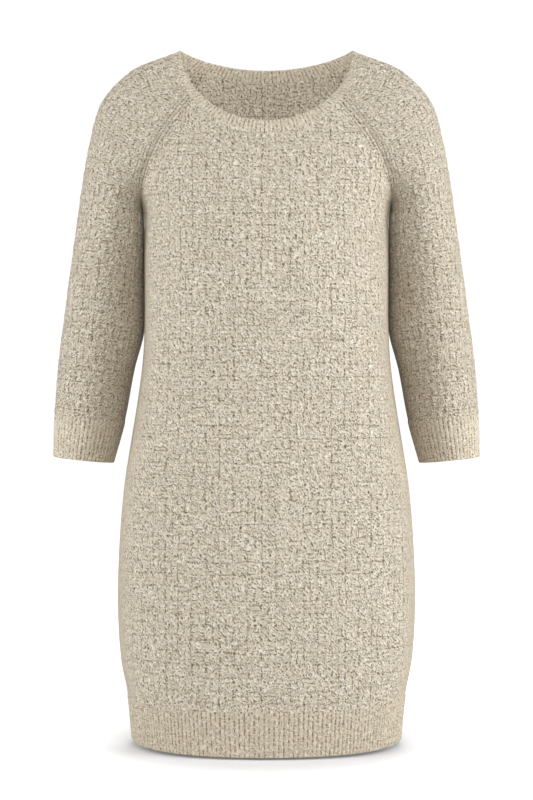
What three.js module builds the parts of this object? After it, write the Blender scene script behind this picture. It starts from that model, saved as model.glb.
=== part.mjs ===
// A raglan sweater dress in its worn, hollow form: front, back, sleeves, cuffs, hem bands and neckband.
// Millimetres. X runs to the wearer's left, the front faces -Y and Z is up. The origin lies between the
// shoulders, where the wearer carries the dress.
import * as THREE from "three";

// Cloth and seams
const CLOTH_THICKNESS = 2.4;
const SEAM_GAP = 0.3;
const UNDERARM_EASE = 0.6; // how much wider the raglan seam's gap is in the tight underarm
const EASE_FALL = 12; // how fast that ease goes above the underarm
const TURN_DOWN_FALL = 6; // how fast the cloth at a raglan turns from straight down to outward

// Lengths that drive the rest
const UNDERARM = { x: 157.5, y: 10, z: -178 };
const HEM_SEAM_Z = -790;
const HEM_EDGE_Z = -845;
const HEM_DIP = { front: 7, back: 5 }; // how far the hem hangs lower at its middle than at the sides
const HEM_DIP_FROM_Z = -600; // the dip grows from here down to the hem seam
const CUFF_SEAM_ALONG = 267; // along the sleeve, from the underarm to the seam of the cuff
const CUFF_EDGE_ALONG = 321;

// The neck opening, at the free edge of the neckband and at its seam: a ring around the neck whose front
// rises to the shoulders by frontRise and whose back rises by backRise.
const NECK_EDGE = {
  halfWidth: 109, frontY: -68, frontZ: -75.5, frontRise: 106, backY: 58, backZ: 11.4, backRise: 15,
};
const NECK_SEAM = {
  halfWidth: 125, frontY: -74, frontZ: -91, frontRise: 139, backY: 66, backZ: -3, backRise: 20.5,
};
const NECK_ROUNDING = 7; // how softly the front of the ring turns into its back on the shoulder
const RAGLAN_AT_NECK = { front: 48.8, back: 135.2 }; // degrees around the ring from the front middle
const SHOULDER_AT_NECK = 92;

// The dress seen from the side: the front and the back middle lines.
const FRONT_LINE = [
  { z: -852, y: -96 },
  { z: -790, y: -98.5 },
  { z: -700, y: -102 },
  { z: -600, y: -103 },
  { z: -500, y: -101 },
  { z: -410, y: -99 },
  { z: -330, y: -105 },
  { z: -245, y: -118 },
  { z: -178, y: -106 },
  { z: -130, y: -90 },
  { z: -91, y: -74 },
];
const BACK_LINE = [
  { z: -850, y: 110 },
  { z: -790, y: 114 },
  { z: -700, y: 121 },
  { z: -610, y: 126 },
  { z: -530, y: 120 },
  { z: -450, y: 103 },
  { z: -370, y: 86 },
  { z: -300, y: 84 },
  { z: -230, y: 92 },
  { z: -150, y: 96 },
  { z: -80, y: 87 },
  { z: -30, y: 73.5 },
  { z: -3, y: 66 },
];

// The dress seen from the front: the side seam from the hem to the underarm.
const SIDE_SEAM = [
  { z: -845, x: 170.2, y: 0 },
  { z: -790, x: 176, y: 0 },
  { z: -745, x: 184.5, y: 0 },
  { z: -679, x: 188.6, y: 0 },
  { z: -603, x: 186.7, y: 0 },
  { z: -527, x: 180.3, y: 0 },
  { z: -470, x: 171.5, y: 0 },
  { z: -419, x: 163.2, y: 0 },
  { z: -368, x: 156.8, y: 1 },
  { z: -320, x: 154.8, y: 3 },
  { z: -240, x: 155.2, y: 6 },
  { z: -200, x: 155.3, y: 9 },
  { z: -186, x: 156, y: 10 },
  { z: UNDERARM.z, x: UNDERARM.x, y: UNDERARM.y },
];

// The yoke in sections from the underarm, level 0, to the neck seam, level 1: the raglan seams of the front
// and the back, the shoulder line on top of the sleeve, the half angle that each piece's arc covers, and the
// half depth of the sleeve.
const atNeck = (degrees) => neckPoint(NECK_SEAM, THREE.MathUtils.degToRad(degrees));
const YOKE = [
  {
    level: 0, frontX: UNDERARM.x, frontY: UNDERARM.y, frontZ: UNDERARM.z,
    backX: UNDERARM.x, backY: UNDERARM.y, backZ: UNDERARM.z,
    topX: 237, topY: 10, topZ: -166, sleeveArc: 180, sleeveDepth: 57, frontArc: 90, backArc: 90,
  },
  {
    level: 0.2, frontX: 157, frontY: -27, frontZ: -160, backX: 153, backY: 46, backZ: -156,
    topX: 232, topY: 8, topZ: -135, sleeveArc: 140, sleeveDepth: 58.5, frontArc: 80, backArc: 81,
  },
  {
    level: 0.4, frontX: 150.5, frontY: -49, frontZ: -138, backX: 146, backY: 66, backZ: -128,
    topX: 224.5, topY: 6, topZ: -95, sleeveArc: 112, sleeveDepth: 61, frontArc: 70, backArc: 72,
  },
  {
    level: 0.6, frontX: 139, frontY: -57, frontZ: -109, backX: 133, backY: 71.5, backZ: -91,
    topX: 209, topY: 4, topZ: -43, sleeveArc: 88, sleeveDepth: 64, frontArc: 61, backArc: 62,
  },
  {
    level: 0.8, frontX: 120, frontY: -56, frontZ: -77, backX: 112, backY: 66, backZ: -45,
    topX: 172, topY: 2, topZ: -4, sleeveArc: 64, sleeveDepth: 67, frontArc: 54, backArc: 53,
  },
  {
    level: 1,
    frontX: atNeck(RAGLAN_AT_NECK.front).x,
    frontY: atNeck(RAGLAN_AT_NECK.front).y,
    frontZ: atNeck(RAGLAN_AT_NECK.front).z,
    backX: atNeck(RAGLAN_AT_NECK.back).x,
    backY: atNeck(RAGLAN_AT_NECK.back).y,
    backZ: atNeck(RAGLAN_AT_NECK.back).z,
    topX: atNeck(SHOULDER_AT_NECK).x,
    topY: atNeck(SHOULDER_AT_NECK).y,
    topZ: atNeck(SHOULDER_AT_NECK).z,
    sleeveArc: 43.2, sleeveDepth: 70, frontArc: 48.8, backArc: 44.8,
  },
];

// The sleeve below the underarm: its inner and outer edge seen from the front, and its depth.
const SLEEVE = [
  { along: 0, innerX: UNDERARM.x, innerZ: UNDERARM.z, outerX: 237, outerZ: -166, midY: 10, halfDepth: 57 },
  { along: 22, innerX: 156.3, innerZ: -200, outerX: 240.4, outerZ: -188, midY: 12, halfDepth: 56.2 },
  { along: 52, innerX: 156.1, innerZ: -230, outerX: 245, outerZ: -218, midY: 15, halfDepth: 55.4 },
  { along: 102, innerX: 155.9, innerZ: -280, outerX: 252.3, outerZ: -268, midY: 18.5, halfDepth: 54.5 },
  { along: 152, innerX: 156.6, innerZ: -330, outerX: 259, outerZ: -318, midY: 19.5, halfDepth: 53 },
  { along: 202, innerX: 169, innerZ: -380, outerX: 265, outerZ: -368, midY: 17, halfDepth: 51 },
  { along: 267, innerX: 181, innerZ: -445, outerX: 270, outerZ: -437, midY: 13, halfDepth: 46.5 },
  { along: 321, innerX: 195.6, innerZ: -499, outerX: 271, outerZ: -491, midY: 9, halfDepth: 38 },
];

// Ribs and fashioning
const BODY_FULLNESS = 0.02; // how much squarer than an ellipse the body's section is
const RIB_HEIGHT = 1;
const HEM_RIBS = 98; // on the front, and as many on the back
const CUFF_RIBS = 50;
const NECK_RIBS = 132;
const FASHION_RIDGES = [ // raised wales that follow each raglan seam, by their distance from it
  { distance: 3, height: 0.9 },
  { distance: 6, height: 0 },
  { distance: 9, height: 0.7 },
  { distance: 12, height: 0 },
];
const RIDGE_FADES = { from: 0.2, to: 0.45 }; // the ridges sink into the cloth towards the underarm

// How finely the walls are cut: heights on the body, levels on the yoke, and places along the sleeve
const BODY_HEIGHTS = [HEM_SEAM_Z, -735, -680, -620, -560, -500, -440, -380, -320, -260, -215, -192];
const YOKE_LEVELS = [0, 0.08, 0.18, 0.3, 0.42, 0.54, 0.67, 0.8, 0.9, 1];
const SLEEVE_PLACES = [CUFF_SEAM_ALONG, 225, 180, 135, 90, 50, 20];
const BODY_COLUMNS = 14; // between the ridges
const SLEEVE_COLUMNS = 10;
const PLAIN_COLUMNS = { hem: 14, cuff: 10, neck: 44 }; // on the plain inside of the ribbed bands
const STEP = 1e-3;
const BESIDE_SEAM = 20 * STEP; // where a piece's direction towards its raglan seam is measured
const LENGTH_STEPS = 24; // in the measure of a row's length

const { clamp, degToRad, lerp, smoothstep } = THREE.MathUtils;

// A smooth curve through each column of a table, by the value in its key column.
function smoothTable(rows, key) {
  const columns = Object.keys(rows[0]);
  const sorted = [...rows].sort((a, b) => a[key] - b[key]);
  const slope = (i, column) => {
    const before = sorted[Math.max(i - 1, 0)];
    const after = sorted[Math.min(i + 1, sorted.length - 1)];
    return (after[column] - before[column]) / (after[key] - before[key]);
  };
  return (value) => {
    const last = sorted.length - 2;
    const i = clamp(sorted.findIndex((row) => row[key] > value) - 1, 0, last);
    const at = value >= sorted[last + 1][key] ? last : i;
    const [low, high] = [sorted[at], sorted[at + 1]];
    const span = high[key] - low[key];
    const t = clamp((value - low[key]) / span, 0, 1);
    const made = {};
    for (const column of columns) {
      const start = slope(at, column) * span;
      const end = slope(at + 1, column) * span;
      const change = high[column] - low[column];
      made[column] =
        low[column] + t * start + t * t * (3 * change - 2 * start - end) + t ** 3 * (start + end - 2 * change);
    }
    return made;
  };
}

const frontLine = smoothTable(FRONT_LINE, "z");
const backLine = smoothTable(BACK_LINE, "z");
const sideSeam = smoothTable(SIDE_SEAM, "z");
const yoke = smoothTable(YOKE, "level");
const sleeve = smoothTable(SLEEVE, "along");

// A point of a neck ring, at an angle from the front middle over the wearer's left shoulder to the back.
function neckPoint(ring, angle) {
  const front = ring.frontZ + ring.frontRise * (1 - Math.cos(angle));
  const back = ring.backZ + ring.backRise * Math.sin(angle) ** 2;
  const lower = Math.min(front, back);
  const apart = Math.abs(front - back);
  const z = lower - NECK_ROUNDING * Math.log(1 + Math.exp(-apart / NECK_ROUNDING));
  const depth = Math.cos(angle) > 0 ? ring.frontY : -ring.backY;
  return new THREE.Vector3(ring.halfWidth * Math.sin(angle), depth * Math.cos(angle), z);
}

// The body's pieces. A height at or below the underarm is a section level from -1, at the hem, to 0, and a
// level above 0 is one of the yoke's.
const levelOf = (z) => (z - UNDERARM.z) / (UNDERARM.z - HEM_EDGE_Z);
const heightOf = (level) => UNDERARM.z + level * (UNDERARM.z - HEM_EDGE_Z);

function bodySection(side, level) {
  const line = side === "front" ? frontLine : backLine;
  if (level <= 0) {
    const z = heightOf(level);
    const seam = sideSeam(z);
    const sag = HEM_DIP[side] * smoothstep(HEM_DIP_FROM_Z - z, 0, HEM_DIP_FROM_Z - HEM_SEAM_Z);
    const middleZ = z - sag;
    return {
      edge: new THREE.Vector3(seam.x, seam.y, z),
      middle: new THREE.Vector3(0, line(middleZ).y, middleZ),
      arc: Math.PI / 2,
      fullness: BODY_FULLNESS,
    };
  }
  const row = yoke(level);
  const neckZ = side === "front" ? NECK_SEAM.frontZ : NECK_SEAM.backZ;
  const middleZ = lerp(UNDERARM.z, neckZ, level);
  return {
    edge: new THREE.Vector3(row[side + "X"], row[side + "Y"], row[side + "Z"]),
    middle: new THREE.Vector3(0, line(middleZ).y, middleZ),
    arc: degToRad(row[side + "Arc"]),
    fullness: BODY_FULLNESS * (1 - level),
  };
}

// A point of the front or back, across from -1 at the wearer's right edge to 1 at the left one.
function plainBodyPoint(side, across, level) {
  const { edge, middle, arc, fullness } = bodySection(side, level);
  const wide = (angle) => (Math.sin(angle) + fullness * Math.sin(3 * angle)) / (1 - fullness);
  const deep = (angle) => (Math.cos(angle) - fullness * Math.cos(3 * angle)) / (1 - fullness);
  const sideways = wide(across * arc) / wide(arc);
  const inwards = (deep(across * arc) - deep(arc)) / (1 - deep(arc));
  return new THREE.Vector3(
    edge.x * sideways,
    lerp(edge.y, middle.y, inwards),
    lerp(edge.z, middle.z, inwards),
  );
}

// A point of the wearer's left sleeve, across from -1 at its front edge over the top to 1 at its back edge.
function plainSleevePoint(across, level) {
  let front, back, top, arc, depth;
  if (level < 0) {
    const row = sleeve(-level * CUFF_EDGE_ALONG);
    front = new THREE.Vector3(row.innerX, row.midY, row.innerZ);
    back = front;
    top = new THREE.Vector3(row.outerX, row.midY, row.outerZ);
    arc = Math.PI;
    depth = row.halfDepth;
  } else {
    const row = yoke(level);
    front = new THREE.Vector3(row.frontX, row.frontY, row.frontZ);
    back = new THREE.Vector3(row.backX, row.backY, row.backZ);
    top = new THREE.Vector3(row.topX, row.topY, row.topZ);
    arc = degToRad(row.sleeveArc);
    depth = row.sleeveDepth;
  }
  const middle = front.clone().lerp(back, 0.5);
  const rise = (Math.cos(arc * across) - Math.cos(arc)) / (1 - Math.cos(arc));
  const point = front.clone().lerp(back, (1 + across) / 2);
  point.addScaledVector(top.sub(middle), rise);
  point.y += depth * (Math.sin(arc * across) - across * Math.sin(arc));
  return point;
}

// Where a place across a piece lies around the neck ring, in radians.
function neckAngle(piece, across) {
  const { front, back } = RAGLAN_AT_NECK;
  if (piece === "front") return degToRad(front * across);
  if (piece === "back") return degToRad(180 - (180 - back) * across);
  return degToRad(lerp(front, back, (1 + across) / 2));
}

// The three surfaces of the cloth. Towards the neck they bend to meet the neck ring.
const plainPoint = {
  front: (across, level) => plainBodyPoint("front", across, level),
  back: (across, level) => plainBodyPoint("back", across, level),
  sleeve: plainSleevePoint,
};
function clothPoint(piece, across, level) {
  const point = plainPoint[piece](across, level);
  if (level > 0) {
    const miss = neckPoint(NECK_SEAM, neckAngle(piece, across)).sub(plainPoint[piece](across, 1));
    point.addScaledVector(miss, smoothstep(level, 0, 1));
  }
  return point;
}

function neckbandPoint(angle, share) {
  return neckPoint(NECK_SEAM, angle).lerp(neckPoint(NECK_EDGE, angle), share);
}

// The outward direction of a surface, from its slopes across and upwards.
function outward(pointAt, across, up, turned) {
  const slopeAcross = pointAt(across + STEP, up).sub(pointAt(across - STEP, up));
  const slopeUp = pointAt(across, up + STEP).sub(pointAt(across, up - STEP));
  const normal = slopeAcross.cross(slopeUp).normalize();
  return turned ? normal.negate() : normal;
}
const insideEdge = (value) => clamp(value, -1 + 2 * STEP, 1 - 2 * STEP);
function clothNormal(piece, across, level) {
  const pointAt = (a, l) => clothPoint(piece, a, l);
  const height = level > 0 ? clamp(level, 2 * STEP, 1 - 2 * STEP) : clamp(level, -1 + 2 * STEP, -2 * STEP);
  return outward(pointAt, insideEdge(across), height, piece === "back");
}

// At a seam both pieces take the mean of their directions, so that their edges stay parallel.
function neckSeamNormal(angle, piece, across) {
  const band = outward(neckbandPoint, angle, 2 * STEP, false);
  return clothNormal(piece, across, 1).add(band).normalize();
}
function raglanNormal(side, level) {
  const towards = side === "front" ? -1 : 1;
  const nearUnderarm = (1 - level) ** TURN_DOWN_FALL;
  const down = new THREE.Vector3(0, 0, -1).multiplyScalar(nearUnderarm);
  const normal = clothNormal(side, 1, level).add(clothNormal("sleeve", towards, level));
  return normal.multiplyScalar(1 - nearUnderarm).add(down).normalize();
}
// Half the seam's gap, from the body towards the sleeve.
function raglanGap(side, level) {
  const towards = side === "front" ? -1 : 1;
  const near = 1 - BESIDE_SEAM;
  const apart = clothPoint("sleeve", towards * near, level).sub(clothPoint(side, near, level));
  return apart.setLength((SEAM_GAP / 2) * (1 + UNDERARM_EASE * (1 - level) ** EASE_FALL));
}

// A point of a cut piece with the direction of its thickness: its edges stand back from the seams.
function cutPoint(piece, across, level) {
  const point = clothPoint(piece, across, level);
  const atEdge = Math.abs(across) === 1;
  const mirrored = piece !== "sleeve" && across < 0;
  const side = piece === "sleeve" ? (across < 0 ? "front" : "back") : piece;
  let normal = clothNormal(piece, across, level);
  if (level === 1) {
    normal = neckSeamNormal(neckAngle(piece, across), piece, across);
    const down = clothPoint(piece, across, 1 - STEP).sub(point);
    point.add(down.setLength(SEAM_GAP / 2));
  }
  if (atEdge && level >= 0) {
    if (level < 1) {
      normal = raglanNormal(side, level);
      if (mirrored) normal.x = -normal.x;
    }
    const gap = raglanGap(side, level);
    if (mirrored) gap.x = -gap.x;
    point.addScaledVector(gap, piece === "sleeve" ? 1 : -1);
  }
  if (atEdge && level <= 0) point.y += side === "front" ? -SEAM_GAP / 2 : SEAM_GAP / 2;
  return { point, normal };
}

// Half the length of a row, along the cloth.
function halfLength(piece, level) {
  const low = piece === "sleeve" ? -1 : 0;
  let length = 0;
  for (let i = 0; i < LENGTH_STEPS; i++) {
    const start = clothPoint(piece, lerp(low, 1, i / LENGTH_STEPS), level);
    length += start.distanceTo(clothPoint(piece, lerp(low, 1, (i + 1) / LENGTH_STEPS), level));
  }
  return piece === "sleeve" ? length / 2 : length;
}

// A row of places across a piece: the ridge lines beside both edges, and even columns between them.
function columnPlaces(columns, length) {
  const edge = [0, ...FASHION_RIDGES.map((ridge) => ridge.distance)].map((d) => 1 - d / length);
  const inner = edge.at(-1);
  const between = Array.from({ length: columns - 1 }, (_, i) => lerp(-inner, inner, (i + 1) / columns));
  return [...edge.map((place) => -place), ...between, ...edge.reverse()];
}
function ridgeHeight(column, columns, level) {
  const last = columns + 2 * FASHION_RIDGES.length;
  const line = Math.min(column, last - column) - 1;
  const height = line >= 0 && line < FASHION_RIDGES.length ? FASHION_RIDGES[line].height : 0;
  return height * smoothstep(level, RIDGE_FADES.from, RIDGE_FADES.to);
}

// One closed wall between an outer and an inner grid of points. The inner rows may have fewer columns.
function wallGeometry(outer, inner, { closed = false, turned = false } = {}) {
  const positions = [];
  const faces = [];
  const place = (rows) => rows.map((row) => row.map((point) => positions.push(...point.toArray()) / 3 - 1));
  const face = (...corners) => faces.push(...(turned ? corners.reverse() : corners));
  const quad = (a, b, c, d) => {
    face(a, b, c);
    face(a, c, d);
  };
  const skins = [place(outer), place(inner)];
  const wrap = (row, i) => row[closed ? i % row.length : i];
  const spans = skins.map((rows) => rows[0].length - (closed ? 0 : 1));
  skins.forEach((rows, skin) => {
    for (let j = 0; j < rows.length - 1; j++) {
      for (let i = 0; i < spans[skin]; i++) {
        const corners = [rows[j][i], wrap(rows[j], i + 1), wrap(rows[j + 1], i + 1), rows[j + 1][i]];
        quad(...(skin ? corners.reverse() : corners));
      }
    }
  });
  const ratio = spans[0] / spans[1];
  const rim = (out, into, upward) => {
    const flip = (corners) => face(...(upward ? corners : corners.reverse()));
    for (let c = 0; c < spans[1]; c++) {
      const half = Math.floor(ratio / 2);
      for (let k = 0; k < ratio; k++) {
        const target = wrap(into, k < half ? c : c + 1);
        flip([wrap(out, c * ratio + k), wrap(out, c * ratio + k + 1), target]);
      }
      flip([wrap(out, c * ratio + half), wrap(into, c + 1), into[c]]);
    }
  };
  rim(skins[0].at(-1), skins[1].at(-1), true);
  rim(skins[0][0], skins[1][0], false);
  if (!closed) {
    for (let j = 0; j < outer.length - 1; j++) {
      const [low, high] = [j, j + 1];
      quad(skins[0][low][0], skins[0][high][0], skins[1][high][0], skins[1][low][0]);
      quad(skins[1][low].at(-1), skins[1][high].at(-1), skins[0][high].at(-1), skins[0][low].at(-1));
    }
  }
  const geometry = new THREE.BufferGeometry();
  geometry.setAttribute("position", new THREE.Float32BufferAttribute(positions, 3));
  geometry.setIndex(faces);
  geometry.computeVertexNormals();
  return geometry;
}

const moved = ({ point, normal }, distance) => point.clone().addScaledVector(normal, distance);
const mirrorX = (rows) => rows.map((row) => row.map((p) => new THREE.Vector3(-p.x, p.y, p.z)));

// A knitted panel from its lowest row to the neck seam, with the raised wales along the raglans.
function panelGeometry(piece, levels, columns, mirrored) {
  const outer = [];
  const inner = [];
  for (const level of levels) {
    const places = columnPlaces(columns, halfLength(piece, level));
    const cut = places.map((across) => cutPoint(piece, across, level));
    outer.push(cut.map((at, i) => moved(at, ridgeHeight(i, columns, level))));
    inner.push(cut.map((at) => moved(at, -CLOTH_THICKNESS)));
  }
  const turned = (piece === "back") !== mirrored;
  const rows = mirrored ? [mirrorX(outer), mirrorX(inner)] : [outer, inner];
  return wallGeometry(...rows, { turned });
}

// A ribbed band that carries on from a panel's first row: ribs outside, plain inside.
function bandGeometry(piece, seamLevel, edgeLevel, ribs, plainColumns, mirrored) {
  const perColumn = Math.ceil((2 * ribs) / plainColumns);
  const count = perColumn * plainColumns;
  const gap = (SEAM_GAP * (seamLevel - edgeLevel)) / bandHeight(piece, seamLevel, edgeLevel);
  const outer = [];
  const inner = [];
  for (const level of [edgeLevel, seamLevel - gap]) {
    const cut = Array.from({ length: count + 1 }, (_, i) => cutPoint(piece, (2 * i) / count - 1, level));
    outer.push(cut.map((at, i) => moved(at, i % 2 ? RIB_HEIGHT : 0)));
    inner.push(cut.filter((_, i) => i % perColumn === 0).map((at) => moved(at, -CLOTH_THICKNESS)));
  }
  const turned = (piece === "back") !== mirrored;
  const rows = mirrored ? [mirrorX(outer), mirrorX(inner)] : [outer, inner];
  return wallGeometry(...rows, { turned });
}
const bandHeight = (piece, seamLevel, edgeLevel) =>
  clothPoint(piece, 0, seamLevel).distanceTo(clothPoint(piece, 0, edgeLevel));

// The neckband: a closed ring whose lower edge follows the cut edges of the four pieces around it.
function neckbandGeometry() {
  const ring = [];
  const addEdge = (piece, columns, from, mirrored) => {
    const places = columnPlaces(columns, halfLength(piece, 1)).slice(from, -1);
    const ordered = piece === "back" || mirrored ? places.map((place) => -place) : places;
    for (const across of ordered) {
      const angle = neckAngle(piece, across);
      ring.push({ angle: mirrored ? 2 * Math.PI - angle : angle, piece, across });
    }
  };
  const front = columnPlaces(BODY_COLUMNS, halfLength("front", 1));
  const middle = front.indexOf(front.find((place) => place >= 0));
  addEdge("front", BODY_COLUMNS, middle, false);
  addEdge("sleeve", SLEEVE_COLUMNS, 0, false);
  addEdge("back", BODY_COLUMNS, 0, false);
  addEdge("sleeve", SLEEVE_COLUMNS, 0, true);
  for (const across of front.slice(0, middle)) {
    ring.push({ angle: neckAngle("front", across) + 2 * Math.PI, piece: "front", across });
  }
  const seamAt = ({ angle, piece, across }) => {
    const around = piece === "sleeve" && angle > Math.PI ? 2 * Math.PI - angle : angle;
    const normal = neckSeamNormal(around, piece, across);
    if (around !== angle) normal.x = -normal.x;
    const point = neckbandPoint(angle, 0);
    const inwards = neckbandPoint(angle, STEP).sub(point).setLength(SEAM_GAP / 2);
    return { point: point.add(inwards), normal, angle };
  };
  const seam = ring.map(seamAt);
  seam.push({ ...seam[0], angle: seam[0].angle + 2 * Math.PI });
  const reach = [0];
  for (let i = 1; i < seam.length; i++) {
    reach.push(reach[i - 1] + seam[i].point.distanceTo(seam[i - 1].point));
  }
  const perColumn = (2 * NECK_RIBS) / PLAIN_COLUMNS.neck;
  const outer = [[], []];
  const inner = [[], []];
  for (let i = 0; i < 2 * NECK_RIBS; i++) {
    const target = (reach.at(-1) * i) / (2 * NECK_RIBS);
    const next = Math.max(reach.findIndex((length) => length > target), 1);
    const share = (target - reach[next - 1]) / (reach[next] - reach[next - 1]);
    const [low, high] = [seam[next - 1], seam[next]];
    const angle = lerp(low.angle, high.angle, share);
    const start = {
      point: low.point.clone().lerp(high.point, share),
      normal: low.normal.clone().lerp(high.normal, share).normalize(),
    };
    const end = { point: neckbandPoint(angle, 1), normal: outward(neckbandPoint, angle, 1, false) };
    [start, end].forEach((at, row) => {
      outer[row].push(moved(at, i % 2 ? RIB_HEIGHT : 0));
      if (i % perColumn === 0) inner[row].push(moved(at, -CLOTH_THICKNESS));
    });
  }
  return wallGeometry(outer, inner, { closed: true });
}

// Yarn colours
const OATMEAL = 0xc3b8a6;
const OATMEAL_RIB = 0xbbb09c;

function cloth(name, geometry, colour) {
  const material = new THREE.MeshStandardMaterial({ color: colour, roughness: 0.95, metalness: 0 });
  const mesh = new THREE.Mesh(geometry, material);
  mesh.name = name;
  return mesh;
}

const bodyLevels = [...BODY_HEIGHTS.map(levelOf), ...YOKE_LEVELS];
const sleeveLevels = [...SLEEVE_PLACES.map((along) => -along / CUFF_EDGE_ALONG), ...YOKE_LEVELS];
const cuffSeamLevel = -CUFF_SEAM_ALONG / CUFF_EDGE_ALONG;

const dress = new THREE.Group();
dress.name = "sweater_dress";
for (const side of ["front", "back"]) {
  dress.add(cloth(side + "_panel", panelGeometry(side, bodyLevels, BODY_COLUMNS, false), OATMEAL));
  const band = bandGeometry(side, levelOf(HEM_SEAM_Z), -1, HEM_RIBS, PLAIN_COLUMNS.hem, false);
  dress.add(cloth("hem_band_" + side, band, OATMEAL_RIB));
}
for (const [side, mirrored] of [["left", false], ["right", true]]) {
  const panel = panelGeometry("sleeve", sleeveLevels, SLEEVE_COLUMNS, mirrored);
  dress.add(cloth("sleeve_" + side, panel, OATMEAL));
  const band = bandGeometry("sleeve", cuffSeamLevel, -1, CUFF_RIBS, PLAIN_COLUMNS.cuff, mirrored);
  dress.add(cloth("cuff_" + side, band, OATMEAL_RIB));
}
dress.add(cloth("neckband", neckbandGeometry(), OATMEAL_RIB));

export default dress;
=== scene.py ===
"""A raglan sweater dress in marled oatmeal yarn, in its worn, hollow form, in metres.

X runs to the wearer's left, the front faces -Y and Z is up. Each piece of cloth is a surface of two
numbers: across, from -1 at one edge to 1 at the other, and level, from -1 at the hem or the cuff's edge
over 0 at the underarm to 1 at the seam of the neckband.
"""

import bmesh
import bpy
import numpy as np
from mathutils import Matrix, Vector


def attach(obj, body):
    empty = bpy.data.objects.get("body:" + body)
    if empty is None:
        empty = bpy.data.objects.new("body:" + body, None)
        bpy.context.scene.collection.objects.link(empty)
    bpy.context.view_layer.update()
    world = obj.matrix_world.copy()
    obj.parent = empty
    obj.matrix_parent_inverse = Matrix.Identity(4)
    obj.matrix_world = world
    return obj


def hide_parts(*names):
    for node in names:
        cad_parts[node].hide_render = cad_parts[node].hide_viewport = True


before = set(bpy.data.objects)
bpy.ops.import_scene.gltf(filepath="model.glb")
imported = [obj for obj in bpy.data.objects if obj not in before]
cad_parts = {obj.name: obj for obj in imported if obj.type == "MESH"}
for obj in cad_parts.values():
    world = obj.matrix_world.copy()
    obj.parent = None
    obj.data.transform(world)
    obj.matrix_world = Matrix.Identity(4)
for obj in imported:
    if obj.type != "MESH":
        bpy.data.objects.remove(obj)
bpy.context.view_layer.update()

TURN = 2 * np.pi

# Cloth and the lengths that drive the rest
CLOTH_THICKNESS = 0.0024
UNDERARM = {"x": 0.1575, "y": 0.010, "z": -0.178}
HEM_SEAM_Z = -0.790
HEM_EDGE_Z = -0.845
HEM_DIP = {"front": 0.007, "back": 0.005}
HEM_DIP_FROM_Z = -0.600
CUFF_SEAM_ALONG = 0.267
CUFF_EDGE_ALONG = 0.321
HEM_SEAM_LEVEL = (HEM_SEAM_Z - UNDERARM["z"]) / (UNDERARM["z"] - HEM_EDGE_Z)
CUFF_SEAM_LEVEL = -CUFF_SEAM_ALONG / CUFF_EDGE_ALONG

# The neck opening as a ring, at the neckband's free edge and at its seam
NECK_EDGE = {
    "half_width": 0.109, "front_y": -0.068, "front_z": -0.0755, "front_rise": 0.106,
    "back_y": 0.058, "back_z": 0.0114, "back_rise": 0.015,
}
NECK_SEAM = {
    "half_width": 0.125, "front_y": -0.074, "front_z": -0.091, "front_rise": 0.139,
    "back_y": 0.066, "back_z": -0.003, "back_rise": 0.0205,
}
NECK_ROUNDING = 0.007
RAGLAN_AT_NECK = (np.radians(48.8), np.radians(135.2))
SHOULDER_AT_NECK = 92
BODY_FULLNESS = 0.02


class Table:
    """Smooth curves through the columns of a table, by the value in its first column."""

    def __init__(self, columns, *rows):
        data = np.array(sorted(rows), float)
        self.key = data[:, 0]
        self.columns = dict(zip(columns.split(), data.T))

    def __call__(self, column, at):
        key, values = self.key, self.columns[column]
        last = len(key) - 2
        i = np.clip(np.searchsorted(key, at, side="right") - 1, 0, last)
        before, after = np.maximum(i - 1, 0), np.minimum(i + 2, last + 1)
        span = key[i + 1] - key[i]
        t = np.clip((at - key[i]) / span, 0, 1)
        start = span * (values[i + 1] - values[before]) / (key[i + 1] - key[before])
        end = span * (values[after] - values[i]) / (key[after] - key[i])
        change = values[i + 1] - values[i]
        return (
            values[i] + t * start + t**2 * (3 * change - 2 * start - end)
            + t**3 * (start + end - 2 * change)
        )


# The dress from the side: the middle lines of the front and the back
MIDDLE_LINE = {
    "front": Table(
        "z y",
        (-0.852, -0.096), (-0.790, -0.0985), (-0.700, -0.102), (-0.600, -0.103), (-0.500, -0.101),
        (-0.410, -0.099), (-0.330, -0.105), (-0.245, -0.118), (-0.178, -0.106), (-0.130, -0.090),
        (-0.091, -0.074),
    ),
    "back": Table(
        "z y",
        (-0.850, 0.110), (-0.790, 0.114), (-0.700, 0.121), (-0.610, 0.126), (-0.530, 0.120),
        (-0.450, 0.103), (-0.370, 0.086), (-0.300, 0.084), (-0.230, 0.092), (-0.150, 0.096),
        (-0.080, 0.087), (-0.030, 0.0735), (-0.003, 0.066),
    ),
}

# The dress from the front: the side seam from the hem to the underarm
SIDE_SEAM = Table(
    "z x y",
    (-0.845, 0.1702, 0.0), (-0.790, 0.1760, 0.0), (-0.745, 0.1845, 0.0), (-0.679, 0.1886, 0.0),
    (-0.603, 0.1867, 0.0), (-0.527, 0.1803, 0.0), (-0.470, 0.1715, 0.0), (-0.419, 0.1632, 0.0),
    (-0.368, 0.1568, 0.001), (-0.320, 0.1548, 0.003), (-0.240, 0.1552, 0.006),
    (-0.200, 0.1553, 0.009), (-0.186, 0.1560, 0.010), (-0.178, 0.1575, 0.010),
)


def smooth_step(share):
    share = np.clip(share, 0, 1)
    return share * share * (3 - 2 * share)


def neck_point(ring, angle):
    """A point of a neck ring, at an angle from the front middle over the left shoulder to the back."""
    front = ring["front_z"] + ring["front_rise"] * (1 - np.cos(angle))
    back = ring["back_z"] + ring["back_rise"] * np.sin(angle) ** 2
    apart = np.abs(front - back)
    height = np.minimum(front, back) - NECK_ROUNDING * np.log1p(np.exp(-apart / NECK_ROUNDING))
    depth = np.where(np.cos(angle) > 0, ring["front_y"], -ring["back_y"])
    return np.stack([ring["half_width"] * np.sin(angle), depth * np.cos(angle), height], -1)


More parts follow.
